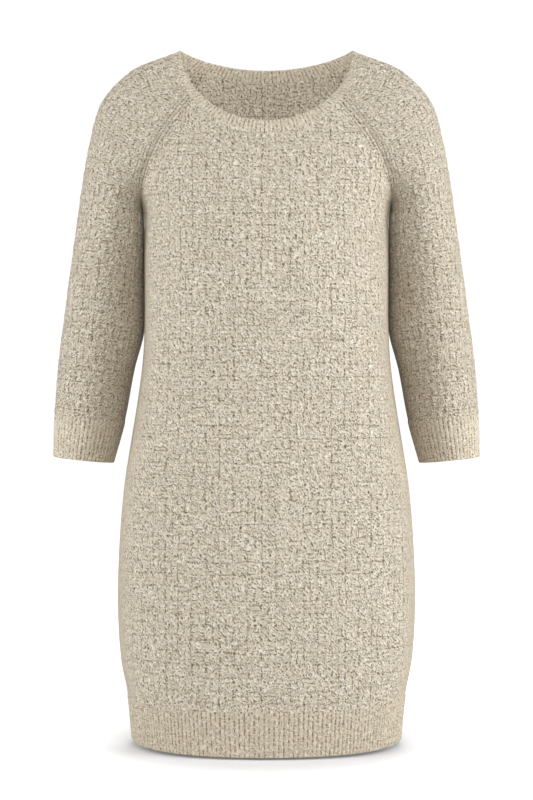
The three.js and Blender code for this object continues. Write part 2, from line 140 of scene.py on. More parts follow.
def at_neck(degrees):
    return tuple(neck_point(NECK_SEAM, np.radians(degrees)))


# The yoke in sections from the underarm, level 0, to the neck seam, level 1: the raglan seams of the front
# and the back, the shoulder line on top of the sleeve, the half angle that each arc covers, and the half
# depth of the sleeve
YOKE = Table(
    "level frontx fronty frontz backx backy backz topx topy topz sleeve_arc sleeve_depth front_arc back_arc",
    (0.0, 0.1575, 0.010, -0.178, 0.1575, 0.010, -0.178, 0.237, 0.010, -0.166, 180, 0.057, 90, 90),
    (0.2, 0.157, -0.027, -0.160, 0.153, 0.046, -0.156, 0.232, 0.008, -0.135, 140, 0.0585, 80, 81),
    (0.4, 0.1505, -0.049, -0.138, 0.146, 0.066, -0.128, 0.2245, 0.006, -0.095, 112, 0.061, 70, 72),
    (0.6, 0.139, -0.057, -0.109, 0.133, 0.0715, -0.091, 0.209, 0.004, -0.043, 88, 0.064, 61, 62),
    (0.8, 0.120, -0.056, -0.077, 0.112, 0.066, -0.045, 0.172, 0.002, -0.004, 64, 0.067, 54, 53),
    (1.0, *at_neck(48.8), *at_neck(135.2), *at_neck(SHOULDER_AT_NECK), 43.2, 0.070, 48.8, 44.8),
)

# The sleeve below the underarm: its inner and outer edge seen from the front, and its depth
SLEEVE = Table(
    "along innerx innerz outerx outerz middley depth",
    (0.0, 0.1575, -0.178, 0.237, -0.166, 0.010, 0.057),
    (0.022, 0.1563, -0.200, 0.2404, -0.188, 0.012, 0.0562),
    (0.052, 0.1561, -0.230, 0.245, -0.218, 0.015, 0.0554),
    (0.102, 0.1559, -0.280, 0.2523, -0.268, 0.0185, 0.0545),
    (0.152, 0.1566, -0.330, 0.259, -0.318, 0.0195, 0.053),
    (0.202, 0.1690, -0.380, 0.265, -0.368, 0.017, 0.051),
    (0.267, 0.181, -0.445, 0.270, -0.437, 0.013, 0.0465),
    (0.321, 0.1956, -0.499, 0.271, -0.491, 0.009, 0.038),
)

STEP = 1e-3
TURN_DOWN_FALL = 6  # how fast the cloth at a raglan turns from straight down to outward


def body_point(side, across, level):
    """A point of the front or the back."""
    yoke = level > 0
    height = UNDERARM["z"] + np.minimum(level, 0) * (UNDERARM["z"] - HEM_EDGE_Z)
    sag = HEM_DIP[side] * smooth_step((HEM_DIP_FROM_Z - height) / (HEM_DIP_FROM_Z - HEM_SEAM_Z))
    neck_z = NECK_SEAM[side + "_z"]
    middle_z = np.where(yoke, UNDERARM["z"] + level * (neck_z - UNDERARM["z"]), height - sag)
    middle_y = MIDDLE_LINE[side]("y", middle_z)
    edge_x = np.where(yoke, YOKE(side + "x", level), SIDE_SEAM("x", height))
    edge_y = np.where(yoke, YOKE(side + "y", level), SIDE_SEAM("y", height))
    edge_z = np.where(yoke, YOKE(side + "z", level), height)
    arc = np.radians(YOKE(side + "_arc", level))
    fullness = BODY_FULLNESS * (1 - np.maximum(level, 0))

    def wide(angle):
        return (np.sin(angle) + fullness * np.sin(3 * angle)) / (1 - fullness)

    def deep(angle):
        return (np.cos(angle) - fullness * np.cos(3 * angle)) / (1 - fullness)

    sideways = wide(across * arc) / wide(arc)
    inwards = (deep(across * arc) - deep(arc)) / (1 - deep(arc))
    return np.stack(
        [
            edge_x * sideways,
            edge_y + (middle_y - edge_y) * inwards,
            edge_z + (middle_z - edge_z) * inwards,
        ],
        -1,
    )


def sleeve_point(across, level):
    """A point of the left sleeve, from its front edge over the top to its back edge."""
    yoke = level > 0
    along = -np.minimum(level, 0) * CUFF_EDGE_ALONG

    def section(yoke_column, sleeve_column):
        return np.where(yoke, YOKE(yoke_column, level), SLEEVE(sleeve_column, along))

    def line(name, x_column, z_column):
        columns = (("x", x_column), ("y", "middley"), ("z", z_column))
        return np.stack([section(name + axis, column) for axis, column in columns], -1)

    front, back = line("front", "innerx", "innerz"), line("back", "innerx", "innerz")
    top = line("top", "outerx", "outerz")
    arc = np.radians(YOKE("sleeve_arc", level))
    depth = section("sleeve_depth", "depth")
    rise = (np.cos(arc * across) - np.cos(arc)) / (1 - np.cos(arc))
    share = ((1 + across) / 2)[..., None]
    point = front + (back - front) * share + (top - (front + back) / 2) * rise[..., None]
    point[..., 1] += depth * (np.sin(arc * across) - across * np.sin(arc))
    return point


def plain_point(piece, across, level):
    return sleeve_point(across, level) if piece == "sleeve" else body_point(piece, across, level)


def neck_angle(piece, across):
    """Where a place across a piece lies round the neck ring."""
    front, back = RAGLAN_AT_NECK
    if piece == "front":
        return front * across
    if piece == "back":
        return np.pi - (np.pi - back) * across
    return front + (back - front) * (1 + across) / 2


def cloth_point(piece, across, level):
    """A point of the cloth, which bends towards the neck ring on its way up."""
    top = np.ones_like(level)
    miss = neck_point(NECK_SEAM, neck_angle(piece, across)) - plain_point(piece, across, top)
    return plain_point(piece, across, level) + miss * smooth_step(level)[..., None]


def neckband_point(angle, share):
    seam, edge = neck_point(NECK_SEAM, angle), neck_point(NECK_EDGE, angle)
    return seam + (edge - seam) * share[..., None]


def unit(vectors):
    return vectors / np.linalg.norm(vectors, axis=-1, keepdims=True)


def outward(point_at, across, up):
    """The direction out of a surface, from its slopes across and upwards."""
    slope_across = point_at(across + STEP, up) - point_at(across - STEP, up)
    slope_up = point_at(across, up + STEP) - point_at(across, up - STEP)
    return unit(np.cross(slope_across, slope_up))


def cloth_normal(piece, across, level):
    inside = np.clip(across, -1 + 2 * STEP, 1 - 2 * STEP)
    lower = np.clip(level, -1 + 2 * STEP, -2 * STEP)
    height = np.where(level > 0, np.clip(level, 2 * STEP, 1 - 2 * STEP), lower)

    def point_at(at_across, at_level):
        return cloth_point(piece, at_across, at_level)

    normal = outward(point_at, inside, height)
    return -normal if piece == "back" else normal


def raglan_normal(side, level):
    """At a raglan both pieces take the mean of their directions, which points down at the underarm."""
    one = np.ones_like(level)
    towards = -one if side == "front" else one
    near_underarm = ((1 - level) ** TURN_DOWN_FALL)[..., None]
    mean = cloth_normal(side, one, level) + cloth_normal("sleeve", towards, level)
    return unit(mean * (1 - near_underarm) + near_underarm * np.array([0.0, 0.0, -1.0]))


def neck_seam_normal(piece, across):
    band = outward(neckband_point, neck_angle(piece, across), np.full_like(across, 2 * STEP))
    return unit(cloth_normal(piece, across, np.ones_like(across)) + band)


def cut_normal(piece, across, level):
    """The direction of the cloth's thickness, shared with the neighbours along each seam."""
    normal = cloth_normal(piece, across, level)
    yoke = (level[:, 0] > 0) & (level[:, 0] < 1)
    for column, edge in ((0, -1), (-1, 1)):
        side = piece if piece != "sleeve" else ("front" if edge < 0 else "back")
        shared = raglan_normal(side, level[yoke, column])
        if piece != "sleeve" and edge < 0:
            shared[:, 0] *= -1
        normal[yoke, column] = shared
    if level[-1, 0] == 1:
        normal[-1] = neck_seam_normal(piece, across[-1])
    return normal


# The knit in blocks, in turn of two upright strands and of three level ones, in metres of flat cloth
BLOCK_WIDTH = 0.017
BLOCK_HEIGHT = 0.015
UPRIGHT_STRANDS = 2
LEVEL_STRANDS = 3
UPRIGHT_HEIGHT = 0.0009
LEVEL_HEIGHT = 0.0006
PATTERN_START = (1.23, 0.87)
WANDER = {"size": 0.0011, "across": 0.050, "up": 0.060}
UNEVEN = {"share": 0.25, "size": 0.009}  # how much the strands differ in height
SEEDS = {"across": 11, "up": 12, "height": 13}
PLAIN_EDGE = {"from": 0.028, "to": 0.066}  # beside the side seams the knit is plain
PLAIN_TO_LEVEL = 0.2  # from the underarm up to this level the plain edges give way to the raglans
RAGLAN = {"width": 0.012, "height": 0.0008, "from": 0.10, "to": 0.40}  # from and to are levels
FLAT_FROM_NECK = 0.05  # how many levels below the neck seam the relief is back at its full height

# How much the wool's colour is darkened by painted shade: on the inner side of a sleeve, where the body
# shades it, and evenly on the hem and neck bands; and how that fades on a sleeve: across from its top
# line, and in levels above and below the underarm
PAINTED_SHADE = {"sleeve": 0.50, "hem": 0.18, "neck": 0.08}
PAINTED_SHADE_ACROSS = {"from": 0.1, "over": 0.85}
PAINTED_SHADE_ABOVE = {"lost": 0.75, "over": 0.5}
PAINTED_SHADE_BELOW = {"least": 0.3, "over": 0.3}

# The ribs, and the rounded free edges of the bands
RIB_HEIGHT = 0.0010
RIB_FULLNESS = 0.7  # below 1 the ribs are wide and their grooves narrow
RIB_AT_SEAM = {"share": 0.35, "over": 0.003}
HEM_RIBS = 98
CUFF_RIBS = 50
NECK_RIBS = 132
EDGE_ROUNDING = 0.0012
EDGE_ROWS = (0.0, 0.06, 0.25, 0.6, 1.0)  # as shares of the rounding

# How finely the pieces are cut and measured
PANEL_CELL = 0.00225
SLEEVE_CELL = 0.0017
BAND_CELL = 0.0016
INNER_EVERY = 3  # the inner side has one row and column for so many of the outer side
COLUMNS_PER_RIB = 6
LENGTH_STEPS = 60
BAND_STEPS = 20
RING_STEPS = 2000
WIDTH_LEVELS = (-0.8, -0.5, 0.0, 0.3)  # where a panel may be widest


def wander(u, v, seed, wavelength):
    """A smooth random field between about -1 and 1."""
    random = np.random.default_rng(seed)
    waves = 9
    total = np.zeros_like(u)
    for _ in range(waves):
        angle, phase = random.uniform(0, TURN, 2)
        length = wavelength * random.uniform(0.7, 1.6)
        total += np.sin(TURN * (u * np.cos(angle) + v * np.sin(angle)) / length + phase)
    return total / np.sqrt(waves / 2) / 1.6


def wandering(place):
    """The place on the flat knit as its rows and columns really run."""
    u, v = place[..., 0], place[..., 1]
    across = wander(u, v, SEEDS["across"], WANDER["across"])
    up = wander(u, v, SEEDS["up"], WANDER["up"])
    return place + WANDER["size"] * np.stack([across, up], -1)


def off_middle(turns):
    """0 in the middle of each whole turn and 1 at its ends."""
    return 2 * np.abs(turns - np.floor(turns) - 0.5)


def knit_relief(place):
    """How far the knit stands out, by the place on the flat cloth."""
    column, row = place[..., 0] / BLOCK_WIDTH, place[..., 1] / BLOCK_HEIGHT
    upright = (np.floor(column) + np.floor(row)) % 2
    standing = (1 - off_middle(column * UPRIGHT_STRANDS) ** 2) * (1 - off_middle(row) ** 4)
    lying = 1 - off_middle(column) ** 4
    bumps = wander(place[..., 0], place[..., 1], SEEDS["height"], UNEVEN["size"])
    uneven = 1 + UNEVEN["share"] * bumps
    return (upright * standing * UPRIGHT_HEIGHT + (1 - upright) * lying * LEVEL_HEIGHT) * uneven


def running_length(points, horizontal=False):
    """The length along each row of a grid, measured from its middle."""
    steps = np.diff(points[..., :2] if horizontal else points, axis=1)
    run = np.cumsum(np.linalg.norm(steps, axis=-1), 1)
    length = np.concatenate([np.zeros((len(points), 1)), run], 1)
    return length - length[:, -1:] / 2


def column_length(piece, across, levels):
    """The length of a column of the cloth, over the given levels."""
    points = cloth_point(piece, np.full(len(levels), float(across)), levels)
    return np.linalg.norm(np.diff(points, axis=0), axis=-1).sum()


def panel_levels(piece, cell):
    """The levels of a panel's rows, about one cell apart."""
    if piece == "sleeve":
        lowest, drop = CUFF_SEAM_LEVEL, CUFF_SEAM_ALONG
    else:
        lowest, drop = HEM_SEAM_LEVEL, UNDERARM["z"] - HEM_SEAM_Z
    lower = np.linspace(lowest, 0, round(drop / cell), endpoint=False)
    rise = np.linspace(0, 1, LENGTH_STEPS)
    lengths = [column_length(piece, across, rise) for across in (0, 1)]
    upper = np.linspace(0, 1, round(max(lengths) / cell) + 1)
    return np.concatenate([lower, upper])


def shell(name, outer, inner, outer_place, inner_place, **values):
    """A closed wall of cloth between a fine outer grid of points and a coarser inner one."""
    bm = bmesh.new()
    for points in (outer, inner):
        first = len(bm.verts)
        rows, columns = points.shape[:2]
        bmesh.ops.create_grid(bm, x_segments=columns - 1, y_segments=rows - 1, size=1)
        bm.verts.ensure_lookup_table()
        for vertex, place in zip(bm.verts[first:], points.reshape(-1, 3)):
            vertex.co = place
    rims = [edge for edge in bm.edges if edge.is_boundary]
    for edge in rims:
        edge.smooth = False
    bmesh.ops.bridge_loops(bm, edges=rims)
    bmesh.ops.recalc_face_normals(bm, faces=bm.faces)
    mesh = bpy.data.meshes.new(name)
    bm.to_mesh(mesh)
    bm.free()
    corners = np.zeros(len(mesh.loops), int)
    mesh.loops.foreach_get("vertex_index", corners)
    places = PATTERN_START + np.concatenate([outer_place.reshape(-1, 2), inner_place.reshape(-1, 2)])
    mesh.uv_layers.new(name="knit").data.foreach_set("uv", places[corners].astype(np.float32).ravel())
    for attribute, (outside, inside) in values.items():
        filled = np.concatenate([outside.ravel(), np.broadcast_to(inside, inner.shape[:2]).ravel()])
        layer = mesh.attributes.new(attribute, "FLOAT", "POINT")
        layer.data.foreach_set("value", filled.astype(np.float32))
    mesh.polygons.foreach_set("use_smooth", np.ones(len(mesh.polygons), bool))
    made = bpy.data.objects.new(name, mesh)
    bpy.context.scene.collection.objects.link(made)
    return made


def mirrored(points):
    return points * np.array([-1.0, 1.0, 1.0])


def coarse(count, every):
    """Some of the rows or columns of a grid, with its first and last."""
    return np.unique(np.round(np.linspace(0, count - 1, max(count // every, 2))).astype(int))


def pattern_place(piece, points, level):
    """Where each point lies on the flat knit: across from its middle, and up."""
    if piece == "sleeve":
        middle = points[:, points.shape[1] // 2]
        steps = np.linalg.norm(np.diff(middle, axis=0), axis=-1)
        up = np.concatenate([[0], np.cumsum(steps)])
        return np.stack([running_length(points), np.broadcast_to(up[:, None], level.shape)], -1)
    height = UNDERARM["z"] + level * (UNDERARM["z"] - HEM_EDGE_Z)
    return np.stack([running_length(points, True), np.where(level > 0, points[..., 2], height)], -1)


def surface_area(points):
    """The area of a grid of points."""
    across = np.diff(points, axis=1)[:-1]
    up = np.diff(points, axis=0)[:, :-1]
    return np.linalg.norm(np.cross(across, up), axis=-1).sum()


def flat_size(points):
    """The width, length and area of the cloth that a grid of points was cut from."""
    width = np.linalg.norm(np.diff(points, axis=1), axis=-1).sum(axis=1).max()
    length = np.linalg.norm(np.diff(points, axis=0), axis=-1).sum(axis=0).max()
    return width, length, surface_area(points)


def sheltered(piece, across, level):
    """Painted shade where the body shades a sleeve's inner side, most some way below the underarm."""
    if piece != "sleeve":
        return across * 0
    inner = smooth_step((np.abs(across) - PAINTED_SHADE_ACROSS["from"]) / PAINTED_SHADE_ACROSS["over"])
    above = 1 - PAINTED_SHADE_ABOVE["lost"] * smooth_step(level / PAINTED_SHADE_ABOVE["over"])
    least = PAINTED_SHADE_BELOW["least"]
    below = least + (1 - least) * smooth_step(-level / PAINTED_SHADE_BELOW["over"])
    return PAINTED_SHADE["sleeve"] * inner * above * below


def panel(name, piece, cell, flip=False):
    """A knitted panel: the relief of the knit, and raised wales along the raglans."""
    level_list = panel_levels(piece, cell)
    grid = np.meshgrid(np.linspace(-1, 1, LENGTH_STEPS), np.array(WIDTH_LEVELS))
    sample = cloth_point(piece, *grid)
    widest = flat_size(sample)[0]
    across_list = np.linspace(-1, 1, 2 * round(widest / cell / 2) + 1)
    across, level = np.meshgrid(across_list, level_list)
    points = cloth_point(piece, across, level)
    normal = cut_normal(piece, across, level)
    place = wandering(pattern_place(piece, points, level))
    length = running_length(points)
    from_seam = length[:, -1:] - np.abs(length)
    raglan = smooth_step((level - RAGLAN["from"]) / (RAGLAN["to"] - RAGLAN["from"]))
    beside = from_seam < RAGLAN["width"]
    two_wales = np.sin(np.pi * from_seam / (RAGLAN["width"] / 2)) ** 2
    wales = two_wales * RAGLAN["height"] * beside * raglan
    on_raglan = smooth_step((from_seam - 0.75 * RAGLAN["width"]) / (RAGLAN["width"] / 2))
    textured = on_raglan
    if piece != "sleeve":
        plain_over = PLAIN_EDGE["to"] - PLAIN_EDGE["from"]
        on_side = smooth_step((from_seam - PLAIN_EDGE["from"]) / plain_over)
        textured = on_side + (on_raglan - on_side) * smooth_step(level / PLAIN_TO_LEVEL)
    knit = knit_relief(place) * textured * smooth_step((1 - level) / FLAT_FROM_NECK)
    outer = points + normal * (knit + wales)[..., None]
    pick = np.ix_(coarse(len(level_list), INNER_EVERY), coarse(len(across_list), INNER_EVERY))
    inner = points[pick] - normal[pick] * CLOTH_THICKNESS
    if flip:
        outer, inner = mirrored(outer), mirrored(inner)
    made = shell(
        name, outer, inner, place, place[pick],
        texture=(textured, textured[pick]), from_raglan=(from_seam, from_seam[pick]),
        raglan=(raglan, raglan[pick]),
        # painted shade on the inner side of a sleeve, none on the inside of the cloth
        shelter=(sheltered(piece, across, level), 0.0),
    )
    return made, flat_size(points)


def rib_profile(count, phase):
    """Rounded ribs with narrow grooves between them."""
    return np.abs(np.cos(np.pi * count * phase)) ** RIB_FULLNESS


def band_rows(height):
    """Shares of a band's height from its free edge, closer together where the edge rounds."""
    rounding = EDGE_ROUNDING / height
    near = rounding * np.array(EDGE_ROWS)
    rest = np.linspace(rounding, 1, round(height / BAND_CELL))[1:]
    return np.concatenate([near, rest])


def rounded_in(distance):
    """How far the cloth's surface draws in near its free edge."""
    share = np.clip(1 - distance / EDGE_ROUNDING, 0, 1)
    return EDGE_ROUNDING * (1 - np.sqrt(1 - share**2))


def ribbed_shell(
    name, points, normal, place, ribs, distance, height, inner_every, shelter, flip=False,
):
    """A ribbed band with a rounded free edge. Its inner side has one column for some of the outer ones."""
    at_seam = RIB_AT_SEAM["share"]
    seam_fade = at_seam + (1 - at_seam) * smooth_step((height - distance) / RIB_AT_SEAM["over"])
    drawn = rounded_in(distance)
    outer = points + normal * (RIB_HEIGHT * ribs * seam_fade - drawn)[..., None]
    rows = np.unique(np.concatenate([np.arange(len(EDGE_ROWS)), coarse(points.shape[0], INNER_EVERY)]))
    pick = np.ix_(rows, coarse(points.shape[1], inner_every))
    inner = points[pick] - normal[pick] * (CLOTH_THICKNESS - drawn[pick])[..., None]
    if flip:
        outer, inner = mirrored(outer), mirrored(inner)
    made = shell(
        name, outer, inner, place, place[pick], rib=(ribs, ribs[pick]), shelter=(shelter, 0.0),
    )
    return made, flat_size(points)


def band(name, piece, seam_level, rib_count, flip=False):
    """A ribbed band below a panel's first row."""
    height = column_length(piece, 0, np.linspace(seam_level, -1, BAND_STEPS))
    shares = band_rows(height)
    level_list = -1 + (seam_level + 1) * shares
    across, level = np.meshgrid(np.linspace(-1, 1, rib_count * COLUMNS_PER_RIB + 1), level_list)
    points = cloth_point(piece, across, level)
    normal = cloth_normal(piece, across, level)
    place = pattern_place(piece, points, level)
    ribs = rib_profile(rib_count, (across + 1) / 2)
    distance = np.broadcast_to((shares * height)[:, None], across.shape)
    # Painted shade: on a cuff where the body shades the sleeve, and evenly on the hem bands
    shelter = sheltered(piece, across, level)
    if piece != "sleeve":
        shelter = np.full(level.shape, PAINTED_SHADE["hem"])
    return ribbed_shell(
        name, points, normal, place, ribs, distance, height, COLUMNS_PER_RIB, shelter, flip,
    )


def neighbour_normal(angle):
    """The direction of the cloth that the neckband is joined to, all round the neck."""
    turned = angle % TURN
    right_side = turned > np.pi
    around = np.where(right_side, TURN - turned, turned)
    front, back = RAGLAN_AT_NECK
    normal = np.zeros(angle.shape + (3,))
    for piece, low, high, across in (
        ("front", 0, front, around / front),
        ("sleeve", front, back, 2 * (around - front) / (back - front) - 1),
        ("back", back, np.pi, (np.pi - around) / (np.pi - back)),
    ):
        here = (around >= low) & (around <= high)
        normal[here] = cloth_normal(piece, across[here], np.ones(here.sum()))
    normal[..., 0] *= np.where(right_side, -1, 1)
    return normal


def neckband(name):
    """The neckband: a ribbed ring, joined at the left raglan of the back."""
    start = RAGLAN_AT_NECK[1]
    fine = np.linspace(start, start + TURN, RING_STEPS)
    ring = neck_point(NECK_SEAM, fine)
    length = np.concatenate([[0], np.cumsum(np.linalg.norm(np.diff(ring, axis=0), axis=-1))])
    count = NECK_RIBS * COLUMNS_PER_RIB
    angle_list = np.interp(np.linspace(0, length[-1], count + 1), length, fine)
    band_height = neck_point(NECK_SEAM, angle_list) - neck_point(NECK_EDGE, angle_list)
    heights = np.linalg.norm(band_height, axis=-1)
    shares = 1 - band_rows(heights.mean())
    angle, share = np.meshgrid(angle_list, shares)
    points = neckband_point(angle, share)
    normal = outward(neckband_point, angle, np.clip(share, STEP, 1 - STEP))
    normal[-1] = unit(normal[-1] + unit(neighbour_normal(angle_list)))
    around = np.broadcast_to(np.linspace(0, length[-1], count + 1), angle.shape)
    place = np.stack([around, share * heights], -1)
    ribs = rib_profile(NECK_RIBS, np.broadcast_to(np.linspace(0, 1, count + 1), angle.shape))
    distance = (1 - share) * heights
    # Painted shade: the neckband is darkened evenly
    shelter = np.full(share.shape, PAINTED_SHADE["neck"])
    return ribbed_shell(name, points, normal, place, ribs, distance, heights.mean(), 1, shelter)


class Value:
    """One output of a shader node. Arithmetic on it adds Math nodes."""

    def __init__(self, tree, socket=None):
        self.tree = tree
        self.socket = socket

    def node(self, kind, settings=None, sockets=None, output=0):
        """A new node: its settings first, then the values or links of its sockets."""
        made = self.tree.nodes.new("ShaderNode" + kind)
        for name, value in (settings or {}).items():
            setattr(made, name, value)
        for name, value in (sockets or {}).items():
            if isinstance(value, Value):
                self.tree.links.new(value.socket, made.inputs[name])
            else:
                made.inputs[name].default_value = value
        return Value(self.tree, made.outputs[output] if made.outputs else None)

    def math(self, operation, *values):
        return self.node("Math", {"operation": operation}, dict(enumerate(values)))

    def __add__(self, other):
        return self.math("ADD", self, other)

    __radd__ = __add__

    def __sub__(self, other):
        return self.math("SUBTRACT", self, other)

    def __rsub__(self, other):
        return self.math("SUBTRACT", other, self)

    def __mul__(self, other):
        return self.math("MULTIPLY", self, other)

    __rmul__ = __mul__

    def __pow__(self, other):
        return self.math("POWER", self, other)

    def __abs__(self):
        return self.math("ABSOLUTE", self)

    def step(self, low, high):
        """0 below low and 1 above high, with a smooth rise between."""
        smooth = {"interpolation_type": "SMOOTHSTEP"}
        return self.node("MapRange", smooth, {"Value": self, "From Min": low, "From Max": high})

    def off_middle(self):
        """0 in the middle of each whole turn and 1 at its ends."""
        return abs(self.math("FRACT", self) - 0.5) * 2


def noise(start, place, scale, detail=0.0, seed=0.0):
    """Smooth noise about 0.5, with features 1 / scale metres wide."""
    if not seed:
        sockets = {"Vector": place, "Scale": scale, "Detail": detail}
        return start.node("TexNoise", {"noise_dimensions": "2D"}, sockets)
    moved = start.node("VectorMath", {"operation": "ADD"}, {0: place, 1: (seed, seed / 2, 0)})
    return noise(start, moved, scale, detail)


def shades(start, factor, low, high):
    """A colour between two, by a factor."""
    mix = {"data_type": "RGBA", "clamp_factor": True}
    return start.node("Mix", mix, {"Factor": factor, 6: low, 7: high}, output=2)


# The yarn: marled in three tones that stay close to each other; the dark colour that it is mixed with,
# most where shade is painted between the stitches; and the colour of the painted highlight on the curls
# which stand out of the knit
YARN = {"pale": (0.92, 0.83, 0.68, 1), "warm": (0.82, 0.70, 0.54, 1), "cool": (0.76, 0.70, 0.545, 1)}
PAINTED_SHADE_COLOUR = (0.18, 0.122, 0.052, 1)
PAINTED_HIGHLIGHT_COLOUR = (0.96, 0.905, 0.81, 1)
STITCH = {"width": 0.0050, "height": 0.0040}
WALE = 0.0044  # the width of a plain wale beside the blocks, and the length of a dash along a raglan
FROM_CURL_TO_SHADOW = (0.0008, 0.0007, 0)
SWIRL = {"stitches": 0.005, "blocks": 0.0045}
SWIRLS_PER_METRE = 190.0

# Noise: features to a metre, detail and seed
PATCHES = (48.0, 2.0, 3.1)
FLECKS = (420.0, 1.0, 5.3)
CURLS = (255.0, 0.0, 2.3)
BREAKS = (280.0, 0.0, 4.1)
RAGGED_BLOCKS = (150.0, 1.0, 7.7)
RAGGED_RIBS = (200.0, 1.0, 7.7)
FIBRES = (1100.0, 2.0)

# Where each gap of the knit begins and where it is deepest, off the middle of a strand, block or wale
GAP = {
    "upright": (0.66, 0.95), "level": (0.5, 0.9), "side": (0.86, 0.97), "end": (0.83, 0.96),
    "wale": (0.55, 1.0),
}
# The grooves beside a raglan: their distance from the seam, and where their sides are steep and end
GROOVES = {"deep": (0.0050, 0.0006, 0.0018), "far": (0.0095, 0.0004, 0.0014)}
SEAM_GROOVE = (0.0006, 0.0016)
# Where a curl and the shadow beside it are full and where they end, and where the noise breaks a shadow
CURL_SIDES = (0.03, 0.13)
SHADOW_SIDES = (0.02, 0.12)
SHADOW_BREAKS = (0.36, 0.54)
# Where the ragged noise breaks the gaps between blocks, those between wales, and the grooves of the ribs
RAGGED = {"block": (0.38, 0.56), "wale": (0.3, 0.7), "rib": (0.35, 0.6)}
# How deep the gaps and grooves are, as shares
GAP_DEPTH = {
    "upright": 0.8, "level": 0.6, "wale": 0.5, "end": 0.3, "upright_end": 0.6,
}
GROOVE_DEPTH = {"deep": 0.4, "dashes": 0.6, "seam": 0.55, "far": 0.7}
DASH = {"wobble": 0.6, "sides": (0.85, 0.3)}
# How strongly the tones of the marled yarn part, and from where the cool and the pale ones begin
MARL_CONTRAST = 2.4
MARL_FROM = {"cool": 0.7, "pale": 0.9}

# The painted light and shade of the knit, from 0 at the painted shade's colour to 1 at the yarn's own
# colour: the ground, and how much the details add as painted highlight or take away as painted shade.
# The last value is how much of a curl shows the painted highlight's colour
BLOCK_PAINTED_SHADING = {
    "ground": 0.66, "body": 0.10, "curls": 0.12, "shadows": 1.3, "gap": 0.62, "groove": 0.62,
    "painted_highlight": 0.62,
}
RIB_PAINTED_SHADING = {
    "ground": 0.69, "body": 0.12, "curls": 0.08, "shadows": 0.50, "groove": 0.92, "painted_highlight": 0.45,
}
# How high the details stand, or how deep they are, in metres
BLOCK_LIFT = {
    "body": 0.0008, "curls": 0.0008, "shadows": 0.0007, "level_dome": 0.0006, "gap": 0.0010,
    "groove": 0.0006, "fibres": 0.0002,
}
RIB_LIFT = {"body": 0.0004, "curls": 0.0005, "shadows": 0.0004, "fibres": 0.00015}
BUMP = {"block": 0.8, "rib": 0.7}
SMOOTHER = 0.35  # how much of the details the plain edges keep
BESIDE_RAGLAN = (0.010, 0.016)


def swirled(start, place, reach):
    """The place moved by small swirls, up to half their reach each way."""
    features = {"Vector": place, "Scale": SWIRLS_PER_METRE}
    swirl = start.node("TexNoise", {"noise_dimensions": "2D"}, features, output=1)
    centred = start.node("VectorMath", {"operation": "SUBTRACT"}, {0: swirl, 1: (0.5, 0.5, 0.5)})
    by = {0: centred, 1: (reach, reach, 0), 2: place}
    return start.node("VectorMath", {"operation": "MULTIPLY_ADD"}, by)


def ridge(start, place, low, high):
    """1 along the thin lines that curl through the knit, and 0 from a little beside them."""
    return 1.0 - abs(noise(start, place, *CURLS) - 0.5).step(low, high)


def stitches(start, place):
    """How high each place is on its stitch, 0 to 1, the curls, painted as highlights, and their shadows."""
    moved = swirled(start, place, SWIRL["stitches"])
    size = (1 / STITCH["width"], 1 / STITCH["height"], 1)
    cells = start.node("VectorMath", {"operation": "MULTIPLY"}, {0: moved, 1: size})
    apart = start.node(
        "TexVoronoi", {"voronoi_dimensions": "2D", "feature": "SMOOTH_F1"},
        {"Vector": cells, "Scale": 1.0, "Randomness": 0.9, "Smoothness": 0.2},
    )
    body = 1.0 - apart.step(0.3, 0.7)
    curls = ridge(start, moved, *CURL_SIDES)
    above = start.node("VectorMath", {"operation": "ADD"}, {0: moved, 1: FROM_CURL_TO_SHADOW})
    broken = noise(start, place, *BREAKS).step(*SHADOW_BREAKS)
    shadows = ridge(start, above, *SHADOW_SIDES) * broken * (1.0 - curls)
    return body, curls, shadows


def finish_knit(start, yarn, height, strength):
    """The surface of matt, slightly hairy wool, with a bump of the given height in metres."""
    bump = start.node("Bump", None, {"Height": height, "Strength": strength, "Distance": 1.0})
    surface = start.node(
        "BsdfPrincipled", None,
        {
            "Base Color": yarn, "Roughness": 0.95, "Normal": bump, "Sheen Weight": 0.35,
            "Sheen Roughness": 0.45, "Sheen Tint": (1.0, 0.93, 0.8, 1), "Specular IOR Level": 0.1,
        },
    )
    start.node("OutputMaterial", None, {"Surface": surface})


def new_material(name):
    material = bpy.data.materials.new(name)
    material.use_nodes = True
    material.node_tree.nodes.clear()
    return material, Value(material.node_tree)


def marled(start, place):
    """The yarn's colour, in soft patches and small flecks."""
    patches = noise(start, place, *PATCHES)
    flecks = noise(start, place, *FLECKS)
    base = shades(start, patches * MARL_CONTRAST - MARL_FROM["cool"], YARN["warm"], YARN["cool"])
    return shades(start, flecks * MARL_CONTRAST - MARL_FROM["pale"], base, YARN["pale"])


def attribute(start, name):
    return start.node("Attribute", {"attribute_name": name}, output=2)


def marl_with_painted_light(start, place, painted_shading, painted_highlight):
    """Marled yarn with painted shade where the shading is under 1 and painted highlights on the curls."""
    # the share of the colour that the painted shade attribute leaves
    shelter = 1.0 - attribute(start, "shelter")
    colour = shades(start, start.math("MAXIMUM", painted_shading, 0.0) * shelter, PAINTED_SHADE_COLOUR, marled(start, place))
    return shades(start, painted_highlight * shelter, colour, PAINTED_HIGHLIGHT_COLOUR)


